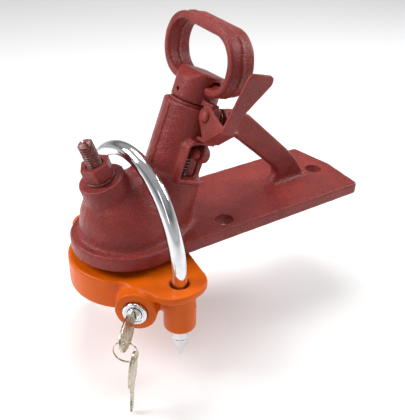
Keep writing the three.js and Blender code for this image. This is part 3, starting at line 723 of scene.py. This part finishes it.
nut_piece = cast("hex_jam_nut", (-14, -12.5, 1.5), (14, 12.5, 17), 0.42, nut, BOSS)
show(nut_piece, "jam_nut", "jam_nut", slot="cast_paint", material=PAINT)
washer_piece = cast("split_washer", (-13.4, -13.4, -0.4), (13.4, 13.4, 3.2), 0.33, washer, BOSS)
show(washer_piece, "coupler", "lock_washer", slot="steel", material=THREAD)


# Plunger and head, in the tube's frame

PLUNGER_R = 20.0
PLUNGER_TOP = 112.0
HEAD_TOP = 138.0


def plunger_bar(field):
    x, y, z = field.own
    from_ball = field.seen_from((np.array([BALL_X, 0, BALL_Z]), np.eye(3)))
    body = cylinder(field.own, PLUNGER_R, 4, PLUNGER_TOP, 1.0)
    body = without(body, ball(from_ball, 30.4), 0.6)
    body = without(body, box(field.own, (-4, 4), (-30, -13.2), (32, 78.2)), 0.4)
    body = without(body, box(field.own, (-25, 25), (-30, -16.4), (43.6, 78.2)), 0.4)
    body = without(body, cylinder(field.own, 10.3, PLUNGER_TOP - 14, PLUNGER_TOP + 4))
    pin = (z - PLUNGER_TOP + 7, y, x)
    return without(body, cylinder(pin, 2.3, -30, 30))


def head(field):
    x, y, z = field.own
    foot = PLUNGER_TOP + 3
    brow = HEAD_TOP - 3
    outline = [(-17, foot), (17, foot), (16, 127), (12.5, brow), (-9.5, brow), (-17, 129)]
    side_view = polygon(x, z, outline) - 3.0
    body = common(side_view, cylinder(field.own, PLUNGER_R, PLUNGER_TOP + 0.3, HEAD_TOP + 9), 2.0)
    body = common(body, -(z - PLUNGER_TOP - 0.3))
    body = union(body, cylinder(field.own, 10, PLUNGER_TOP - 13.5, PLUNGER_TOP + 2, 0.4))
    trigger = field.seen_from(TRIGGER)
    arm = box(field.own, (-5.6, 1.5), (-34, -12), (PLUNGER_TOP + 1.2, 118.4), 1.0)
    along = (trigger[1], trigger[2], trigger[0])
    body = union(body, arm, 1.5)
    body = union(body, cylinder(along, 6.2, -5.6, 1.5, 0.6), 1.0)
    body = union(body, box(field.own, (-5.6, 1.5), (-38.3, -27.5), (107.5, 116), 0.8), 0.8)
    ring = field.seen_from(RING)
    body = without(body, cylinder((ring[0], ring[2], ring[1]), 6.3, -30, 30), 1.2)
    body = without(body, cylinder(along, 3.6, -20, 20), 0.3)
    return without(body, cylinder((z - 119.5, y, x), 1.8, -25, -14), 0.3)


bar = cast("plunger_bar", (-21.5, -21.5, 2), (21.5, 21.5, 114), 0.9, plunger_bar, TUBE)
show(bar, "plunger", "plunger", slot="cast_paint", material=PAINT)
head_piece = cast("plunger_cap", (-21.5, -41, 97), (21.5, 21.5, 140), 0.55, head, TUBE)
show(head_piece, "plunger", "plunger_head", slot="cast_paint", material=PAINT)


# Pull ring, in its own frame

RING_HALF = 49.5
RING_LOW = -3.4
RING_HIGH = 52.6
RING_THICK = 6.8


def rounded_rectangle(u, v, half, low, high, radius):
    wall_u = np.abs(u) - half + radius
    wall_v = between(v, low, high) + radius
    outside = np.sqrt(np.maximum(wall_u, 0) ** 2 + np.maximum(wall_v, 0) ** 2)
    return np.minimum(np.maximum(wall_u, wall_v), 0) + outside - radius


def pull_ring(field):
    x, y, z = field.own
    outer = rounded_rectangle(y, z, RING_HALF, RING_LOW, RING_HIGH, 27)
    low, high = RING_LOW + RING_THICK, RING_HIGH - RING_THICK
    inner = rounded_rectangle(y, z, RING_HALF - RING_THICK, low, high, 20.5)
    swell = 0.5 * np.sin(y * 0.19 + z * 0.13) + 0.35 * np.sin(z * 0.31 - y * 0.07)
    half_depth = 12.0 - 0.02 * np.abs(inner + RING_THICK / 2)
    band = rounded(2.6, outer, -inner, np.abs(x) - half_depth + 0.3 * np.abs(swell))
    torn = 0.35 * np.sin(y * 1.7 + 2 * np.sin(z * 0.9)) * np.sin(z * 2.1 + y * 0.6)
    torn = torn + 0.2 * np.sin(y * 3.9) * np.sin(z * 3.3)
    seam = rounded(0.2, outer - 0.75 - torn, -outer - 3.0, np.abs(x + 0.8 * swell) - 1.1 - torn)
    inner_seam = rounded(0.2, -inner - 0.7 - torn, inner - 3.0, np.abs(x + 0.6 * swell) - 0.9 - torn)
    band = union(union(band, seam, 0.7), inner_seam, 0.7)
    band = without(band, box(field.own, (-20, 20), (-20.5, 20.5), (-8, 6.4), 1.5), 1.0)
    bar = cylinder((x, z, y), 4.4, -26, 26, 0.5)
    bar = common(bar, -(z + 3.4), 0.6)
    return union(band, bar, 1.5)


ring_piece = cast("lift_ring", (-13.5, -51.5, -5), (13.5, 51.5, 54.5), 0.6, pull_ring, RING, keep=0.6)
show(ring_piece, "pull_ring", "pull_ring", slot="cast_paint", material=PAINT)


# Trigger, rivet and springs, in the trigger's frame

TRIGGER_X = (-9.0, 8.0)
SHEET = 2.8


def lever(field):
    x, y, z = field.own
    low, high = TRIGGER_X
    lobe = [(9 * math.cos(a * DEG), 9 * math.sin(a * DEG)) for a in range(148, -21, -12)]
    ear_outline = polygon(y, z, [(-5.4, -17.6), (-24.4, -0.9), (-8.2, 5)] + lobe)
    ears = [rounded(0.5, ear_outline, between(x, a, a + SHEET)) for a in (low, high - SHEET)]
    web_side = polygon(y, z, [(-4.7, -16.8), (-23.6, -0.2), (-26.2, -3), (-7.2, -19.8)])
    web = rounded(0.5, web_side, between(x, low, high))
    claw_side = polygon(y, z, [(-6, -17.2), (4.2, -17.6), (6.4, -18.6), (5.8, -20.6), (-7.4, -20)])
    claw = rounded(0.5, claw_side, between(x, low + 3, high - 3))
    lean = 12 * DEG
    out, rise = y + 26.2, z + 2
    through = out * math.cos(lean) + rise * math.sin(lean)
    upward = rise * math.cos(lean) - out * math.sin(lean)
    side = low + 0.3
    top = low + 23
    blade = [(side, -4), (side, 22), (side - 0.8, 42)]
    blade += bezier((side - 0.8, 43), (side - 0.4, 48), (side + 3, 49.5))
    blade += bezier((top - 4, 51.2), (top + 0.8, 51), (top + 0.8, 44))
    blade += [(top + 0.8, 44), (low + 12, 14), (low + 12, -4)]
    tongue = rounded(0.7, polygon(x, upward, blade), between(through, 0, SHEET))
    body = union(union(ears[0], ears[1]), web, 1.2)
    body = union(union(body, claw, 0.8), tongue, 1.4)
    return without(body, cylinder((y, z, x), 3.6, -20, 20), 0.3)


trigger_piece = cast("trigger_lever", (-10.5, -42, -22.5), (16, 11, 51.5), 0.5, lever, TRIGGER)
show(trigger_piece, "trigger", "trigger", slot="cast_paint", material=PAINT)
ALONG_RIVET = (TRIGGER[0], np.array([-TRIGGER[1][2], TRIGGER[1][1], TRIGGER[1][0]]))
rivet_profile = [[2.2, -12.35], [3.4, -12.0], [4.5, -11.0], [5.1, -9.9], [5.1, -9.4], [3.2, -9.3]]
rivet_profile += [[3.2, 8.3], [4.6, 8.35], [4.6, 9.2], [4.1, 10.0], [2.6, 10.2]]
rivet = lathe("trigger_rivet_bar", rivet_profile, ALONG_RIVET, 48)
show(rivet, "plunger", "trigger_rivet", slot="cast_paint", material=PAINT)


def helix(radius, low, high, turns, steps=40):
    share = np.linspace(0, 1, int(turns * steps))
    angle = 2 * math.pi * turns * share
    return np.stack([radius * np.cos(angle), radius * np.sin(angle), low + (high - low) * share], 1)


coil = sweep("trigger_torsion_spring", helix(6.6, 2.4, 4.5, 1.5), 0.6, ALONG_RIVET, 12)
show(coil, "plunger", "trigger_spring", slot="steel", material=THREAD)
LONG_COIL_Y = -16.8
long_coil = sweep("plunger_coil_spring", helix(2.5, 33.5, 67, 12), 0.6, moved(TUBE, 0, LONG_COIL_Y, 0), 10)
show(long_coil, "plunger", "plunger_spring", slot="steel", material=THREAD)
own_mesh(long_coil)


# Keeper pin and collar in the side pocket

# The CAD has the keeper at 0 along the tube's x. This is off it, a fault.
KEEPER_OFF_CAD = 4.6
KEEPER_Y = -21.5
KEEPER_Z = 73
KEEPER = moved(TUBE, KEEPER_OFF_CAD, KEEPER_Y, KEEPER_Z)
ALONG_KEEPER = (KEEPER[0], np.array([-TUBE[1][2], TUBE[1][1], TUBE[1][0]]))
pin_profile = [[0.8, -4.95], [2.4, -4.6], [3.7, -3.7], [4.5, -2.4], [4.8, -1.0], [4.8, 0.1]]
pin_profile += [[4.3, 0.6], [3.4, 0.8], [3.4, 9.0], [2.8, 9.4]]
keeper = lathe("keeper_stud", pin_profile, ALONG_KEEPER, 48)
show(keeper, "coupler", "keeper_pin", slot="cast_paint", material=PAINT)


def collar(field):
    x, y, z = field.own
    radius = np.hypot(x, y)
    body = rounded(2.2, radius - 7.4, between(z, 1, 9.6))
    body = without(body, radius - 3.8, 0.6)
    return without(body, cylinder(field.seen_from(TUBE), BORE_R, 0, 140))


collar_piece = cast("keeper_round_collar", (-8.5, -8.5, 0), (8.5, 8.5, 10.6), 0.35, collar, ALONG_KEEPER)
show(collar_piece, "coupler", "keeper_collar", slot="cast_paint", material=PAINT)


# Lock body, in the lock's frame

BODY_R = 53.5
BODY_TOP = -7.0
BODY_LOW = -35.0
NEAR_EAR = 71.0
FAR_EAR = 62.0
EAR_T = 6.5
leg_seen = to_row(LOCK, [0, -NEAR_EAR, at_joint("key_turn")[2]]) - BARREL[0]
LEG_X, _, BOLT_Z = BARREL[1] @ leg_seen


def ear_outline(side):
    centre = -NEAR_EAR if side < 0 else FAR_EAR
    lip = centre + side * (19 if side < 0 else 15)
    shoulder = centre + side * (14 if side < 0 else 11)
    half = 26.5 if side < 0 else 20
    waist = centre - side * 2
    outline = [(-36, side * 38), (36, side * 38)]
    outline += bezier((half, waist), (half - 2.5, shoulder), (half - 14, lip), (0, lip))
    outline += bezier((0, lip), (14 - half, lip), (2.5 - half, shoulder), (-half, waist)) + [(-half, waist)]
    return outline


def lock_casting(field):
    x, y, z = field.own
    barrel = field.seen_from(BARREL)
    body = cylinder(field.own, BODY_R, BODY_LOW, BODY_TOP, 2.6)
    for side, ear in ((-1, -NEAR_EAR), (1, FAR_EAR)):
        plate = rounded(1.6, polygon(x, y, ear_outline(side)), between(z, BODY_TOP - EAR_T, BODY_TOP))
        body = union(body, plate, 2.0)
        body = union(body, cylinder((x, y - ear, z), 13.9, -50.5, BODY_TOP - 2, 1.6), 2.2)
        inner, outer = sorted((side * 45, ear - side * 5))
        body = union(body, box(field.own, (-9, 9), (inner, outer), (BODY_LOW + 3, BODY_TOP - 2), 1.0), 5.0)
    drum = cylinder(barrel, 17.5, -42, 0, 1.2)
    body = union(body, drum, 4.0)
    bolt_way = (barrel[1], barrel[2] - BOLT_Z, barrel[0])
    body = union(body, cylinder(bolt_way, 9.5, 4, LEG_X), 3.5)
    ripple = np.sin(x * 0.23 + 0.8 * np.sin(y * 0.13)) * np.sin(y * 0.29 + z * 0.2) * np.sin(z * 0.27)
    body = body + 0.07 * ripple
    for ear in (-NEAR_EAR, FAR_EAR):
        body = without(body, cylinder((x, y - ear, z), 8.2, -70, 0), 0.9)
    body = without(body, cylinder(barrel, 9.6, -13.6, 4))
    body = without(body, cylinder(barrel, 10.4, -2, 6), 0.2)
    body = without(body, cylinder(barrel, 7.4, BOLT_Z - 5.4, 0))
    body = without(body, cylinder(bolt_way, 4.6, -9, 60), 0.5)
    body = without(body, cylinder(field.own, 20.3, BODY_TOP - 3, 2), 0.5)
    body = without(body, cylinder(field.own, 5.4, -50, 0))
    return without(body, cylinder(field.own, 9.4, -50, BODY_LOW + 12), 0.8)


lock_piece = cast("lock_casting", (-56, -92, -52.5), (56, 80, -5), 0.8, lock_casting, LOCK, keep=0.6)
show(lock_piece, "lock", "lock_body", slot="orange_paint", material=ORANGE)


def insert_profile():
    profile = [[5.45, -9.65], [19.4, -9.65], [20.0, -9.1], [20.0, 5.0]]
    for angle in np.arange(-44, 80, 4.0):
        height = BALL_Z + 28.5 * math.sin(angle * DEG)
        if height < 43.2:
            profile.append([28.5 * math.cos(angle * DEG), height])
    return profile + [[20.5, 43.3], [0.8, 43.3]]


insert = lathe("dummy_ball", insert_profile(), LOCK, 64)
show(insert, "lock", "ball_insert", slot="orange_paint", material=ORANGE)


def socket_bolt(field):
    x, y, z = field.own
    body = union(cylinder(field.own, 9, -33, -23.3, 0.8), cylinder(field.own, 5, -25, 11, 0.6))
    return without(body, np.maximum(hexagon(x, y, 8), z + 28.0), 0.3)


bolt_piece = cast("insert_cap_screw", (-10, -10, -34.5), (10, 10, 12.5), 0.5, socket_bolt, LOCK)
show(bolt_piece, "lock", "insert_bolt", slot="steel", material=STEEL)
BOLT_LINE = moved((BARREL[0], np.array([-BARREL[1][2], BARREL[1][1], BARREL[1][0]])), -BOLT_Z, 0, 0)
plug_profile = [[3.9, 8.7], [4.2, 9.0], [4.2, 12.9], [3.6, 13.4], [1.0, 13.55]]
plug_profile = [[radius, LEG_X + height] for radius, height in plug_profile]
plug_cap = lathe("bolt_bore_cap", plug_profile, BOLT_LINE, 40)
show(plug_cap, "lock", "bolt_bore_plug", slot="orange_paint", material=ORANGE)


# Shackle

SHACKLE_R = 6.55
SHACKLE_TOP = 88.0
SHACKLE_TIP = -84.0
GROOVE_Z = at_joint("key_turn")[2]
GROOVE_R = 3.95


def leg_radius(height):
    """Radius of a leg below the ear: pointed tip, then the bolt groove."""
    stops = [(SHACKLE_TIP, 0.6), (SHACKLE_TIP + 0.8, 1.5)]
    stops += [(-67.4, 6.8), (-66.8, 7.1), (-63.4, 7.1), (-62.8, SHACKLE_R)]
    stops += [(GROOVE_Z - 5.6, SHACKLE_R), (GROOVE_Z - 4.9, GROOVE_R)]
    stops += [(GROOVE_Z + 4.9, GROOVE_R), (GROOVE_Z + 5.6, SHACKLE_R), (99, SHACKLE_R)]
    return np.interp(height, *zip(*stops))


def shackle_path():
    spans = ((SHACKLE_TIP, -62, 0.4), (-62, -32, 2.0), (-32, -16, 0.35), (-16, BODY_TOP, 2.0))
    low = np.concatenate([np.arange(*span) for span in spans])
    arch = np.linspace(math.pi, 0, 130)
    middle, half = (FAR_EAR - NEAR_EAR) / 2, (FAR_EAR + NEAR_EAR) / 2
    crest = BODY_TOP + (SHACKLE_TOP - BODY_TOP) * np.sin(arch)
    over = np.stack([0 * arch, middle + half * np.cos(arch), crest], 1)
    near = np.stack([0 * low, 0 * low - NEAR_EAR, low], 1)
    far = near[::-1] * [1, -FAR_EAR / NEAR_EAR, 1]
    leg = leg_radius(low)
    thickness = np.concatenate([leg, np.full(len(arch), SHACKLE_R), leg[::-1]])
    return np.concatenate([near, over, far]), thickness


path, radii = shackle_path()
shackle = sweep("chrome_shackle", path, radii, LOCK, 40)
show(shackle, "shackle", "shackle", slot="chrome", material=CHROME)


# Key cylinder, in the barrel's frame

KEY_TURN = 8 * DEG
PLUG_FACE = turned_about(BARREL, 2, KEY_TURN)


def shell(field):
    x, y, z = field.own
    radius = np.hypot(x, y)
    flange = rounded(1.3, radius - 10.3, between(z, -1.6, 3.0))
    body = union(rounded(0.3, radius - 9.2, between(z, -13, 0)), flange)
    body = without(body, rounded(0.4, radius - 8.2, 2.4 - z, z - 9))
    body = without(body, radius - 6.4, 0.25)
    step = np.abs(radius - 7.3) - 0.25
    return without(body, np.maximum(step, 2.05 - z))


def plug(field):
    x, y, z = field.own
    radius = np.hypot(x, y)
    body = rounded(0.5, radius - 6, between(z, -13, 3.5))
    groove = np.maximum(np.abs(radius - 4.6) - 0.22, 3.2 - z)
    body = without(body, groove, 0.1)
    key_way = box(field.own, (-1.3, 1.3), (-3.5, 3.5), (-9.6, 6))
    return without(body, key_way, 0.2)


shell_piece = cast("cylinder_sleeve", (-11, -11, -13.8), (11, 11, 3.8), 0.28, shell, BARREL)
show(shell_piece, "lock", "cylinder_shell", slot="chrome", material=CHROME)
plug_piece = cast("key_plug", (-6.8, -6.8, -13.8), (6.8, 6.8, 4.4), 0.24, plug, PLUG_FACE)
show(plug_piece, "lock_plug", "lock_plug", slot="chrome", material=CHROME)

KEY_HOLE = 35.4
KEY_END = 43.0
KEY_TIP = -9.0


def key_blank(field, tip=KEY_TIP):
    """Key: thickness along x, bow across y, blade along z."""
    x, y, z = field.own
    half = [(4.2, 4), (4.2, 9)]
    half += bezier((4.4, 9), (10, 12), (11.4, 20), (10.4, 28))
    half += bezier((10.4, 28), (9.5, 38), (6, KEY_END), (0, KEY_END))
    bow = polygon(y, z, half + [(0, KEY_END)] + [(-py, pz) for py, pz in half[::-1]])
    cuts = [(2.7, 4), (2.7, tip + 2.6), (1.0, tip + 0.2), (-1.2, tip + 0.2), (-2.0, tip + 1.8)]
    for step, depth in enumerate((1.2, 2.3, 1.5, 2.4, 1.0, 2.6, 1.4, 2.1, 2.6)):
        if tip + 3.2 + 1.7 * step < 2:
            cuts.append((-depth, tip + 3.2 + 1.7 * step))
    cuts += [(-2.6, 4)]
    blade = polygon(y, z, cuts)
    thick = np.abs(x) - 1.0
    body = union(rounded(0.25, bow, thick), rounded(0.2, blade, thick))
    field_in = rounded(0.4, bow + 2.2, 0.72 - np.abs(x))
    lug = polygon(y, z, [(-3.4, 13), (3.4, 13), (2.4, 30), (-2.4, 30)]) - 1.0
    body = without(body, without(field_in, lug - 0.4, 0.3), 0.15)
    groove = rounded(0.1, np.abs(y - 0.9) - 0.55, 0.55 - x, z - 12, tip - 4 - z)
    body = without(body, groove, 0.1)
    hole = cylinder((y, z - KEY_HOLE, x), 2.6, -5, 5)
    rim = rounded(0.2, np.hypot(y, z - KEY_HOLE) - 3.9, thick)
    return without(union(body, rim, 0.2), hole, 0.15)


KEY_LOW, KEY_HIGH = (-1.5, -12.6, KEY_TIP - 0.8), (1.5, 12.6, KEY_END + 0.8)
key = cast("key_in_lock", KEY_LOW, KEY_HIGH, 0.26, key_blank, PLUG_FACE)
show(key, "key", "key", slot="nickel", material=NICKEL)
spare_x = axis_of("spare_key_swing")
spare_z = unit(np.cross(spare_x, -out_of_barrel))
spare_z = spare_z if spare_z[2] > 0 else -spare_z
spare_axes = np.array([spare_x, np.cross(spare_z, spare_x), spare_z])
SPARE = moved((at_joint("spare_key_swing"), spare_axes), 0, 0, -KEY_HOLE)
SPARE_TIP = -21.0
# The CAD has no such turn. This is off it, a fault.
SPARE_OFF_CAD = -6 * DEG
SPARE = turned_about(SPARE, 2, SPARE_OFF_CAD)
SPARE_LOW = (-1.5, -12.6, SPARE_TIP - 0.8)
spare = cast("spare_key_on_ring", SPARE_LOW, KEY_HIGH, 0.26, lambda field: key_blank(field, SPARE_TIP), SPARE)
show(spare, "spare_key", "spare_key", slot="nickel", material=NICKEL)

RING_R = 10.0
key_eye = BARREL[1] @ (at_joint("key_ring_swing") - BARREL[0])
loop_x = key_eye[0] + RING_R * math.sin(KEY_TURN)
loop_y = key_eye[1] - RING_R * math.cos(KEY_TURN)
LOOP = moved(BARREL, loop_x, loop_y, key_eye[2])
turns = np.linspace(0, 2 * math.pi * 1.93, 190)
rise = 0.42 * np.tanh((turns / (2 * math.pi) - 0.965) * 14)
loop_path = np.stack([RING_R * np.cos(turns + 0.6), RING_R * np.sin(turns + 0.6), rise], 1)
loop = sweep("split_key_ring", loop_path, 0.4, LOOP, 12)
show(loop, "key_ring", "key_ring", slot="nickel", material=NICKEL)


# Floor, light and camera

low_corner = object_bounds()[0]
bpy.ops.mesh.primitive_plane_add(size=12, location=(0, 0, low_corner[2] - 0.002))
floor = bpy.context.object
floor.name = "floor"
FLOOR_GREY = (0.74, 0.74, 0.74)
floor_material, _ = shader("floor", FLOOR_GREY, 0.75, Emission_Color=(1, 1, 1, 1), Emission_Strength=0.20)
floor.data.materials.append(floor_material)


def area_light(name, place, target, size, power, colour=(1, 1, 1)):
    data = bpy.data.lights.new(name, "AREA")
    data.shape = "RECTANGLE"
    data.size, data.size_y = size
    data.energy = power
    data.color = colour
    lamp = bpy.data.objects.new(name, data)
    lamp.location = place
    lamp.rotation_euler = (Vector(target) - Vector(place)).to_track_quat("-Z", "Y").to_euler()
    bpy.context.scene.collection.objects.link(lamp)
    return lamp


area_light("left_box", (-0.85, 0.40, 0.70), (-0.08, 0, 0.05), (0.5, 0.5), 9.5)
area_light("right_box", (0.95, -0.22, 0.65), (0.0, 0, 0.06), (0.5, 0.5), 8.5)
area_light("top_box", (0.15, 0.35, 1.25), (0, 0, 0.02), (0.6, 0.6), 9.0)
area_light("front_strip", (-0.75, -0.95, 0.55), (-0.1, 0, 0.0), (0.2, 0.7), 0.8)
world = bpy.data.worlds.new("studio")
world.use_nodes = True
sky = world.node_tree.nodes
direction = sky.new("ShaderNodeTexCoord")
height = sky.new("ShaderNodeSeparateXYZ")
shade = sky.new("ShaderNodeValToRGB")
stops = shade.color_ramp.elements
while len(stops) < 4:
    stops.new(0.5)
for stop, (place, value) in zip(stops, ((0.0, 1.0), (0.10, 0.85), (0.33, 0.24), (0.62, 0.66))):
    stop.position = place
    stop.color = (value, value, value, 1)
world.node_tree.links.new(direction.outputs["Generated"], height.inputs[0])
world.node_tree.links.new(height.outputs["Z"], shade.inputs["Fac"])
world.node_tree.links.new(shade.outputs["Color"], sky["Background"].inputs["Color"])
sky["Background"].inputs["Strength"].default_value = 0.62
bpy.context.scene.world = world

AZIMUTH, ELEVATION, ROLL = -34.0 * DEG, 30.7 * DEG, 0.66 * DEG
LENS = 55.07
CAMERA_AT = (-0.35932, -0.4298, 0.31294)
level = math.cos(ELEVATION)
back = np.array([math.sin(AZIMUTH) * level, -math.cos(AZIMUTH) * level, math.sin(ELEVATION)])
right = np.array([math.cos(AZIMUTH), math.sin(AZIMUTH), 0])
up = np.cross(back, right)
camera_x = right * math.cos(ROLL) + up * math.sin(ROLL)
camera_y = up * math.cos(ROLL) - right * math.sin(ROLL)
camera_axes = (camera_x, camera_y, back)
camera_data = bpy.data.cameras.new("camera")
camera_data.lens = LENS
camera_data.sensor_width = 36
camera_data.clip_start = 0.01
camera = bpy.data.objects.new("camera", camera_data)
bpy.context.scene.collection.objects.link(camera)
rows = [[*(axis[i] for axis in camera_axes), place] for i, place in enumerate(CAMERA_AT)]
camera.matrix_world = Matrix(rows + [[0, 0, 0, 1]])
bpy.context.scene.camera = camera
bpy.context.scene.view_settings.view_transform = "Standard"
bpy.context.scene.view_settings.exposure = 0.0
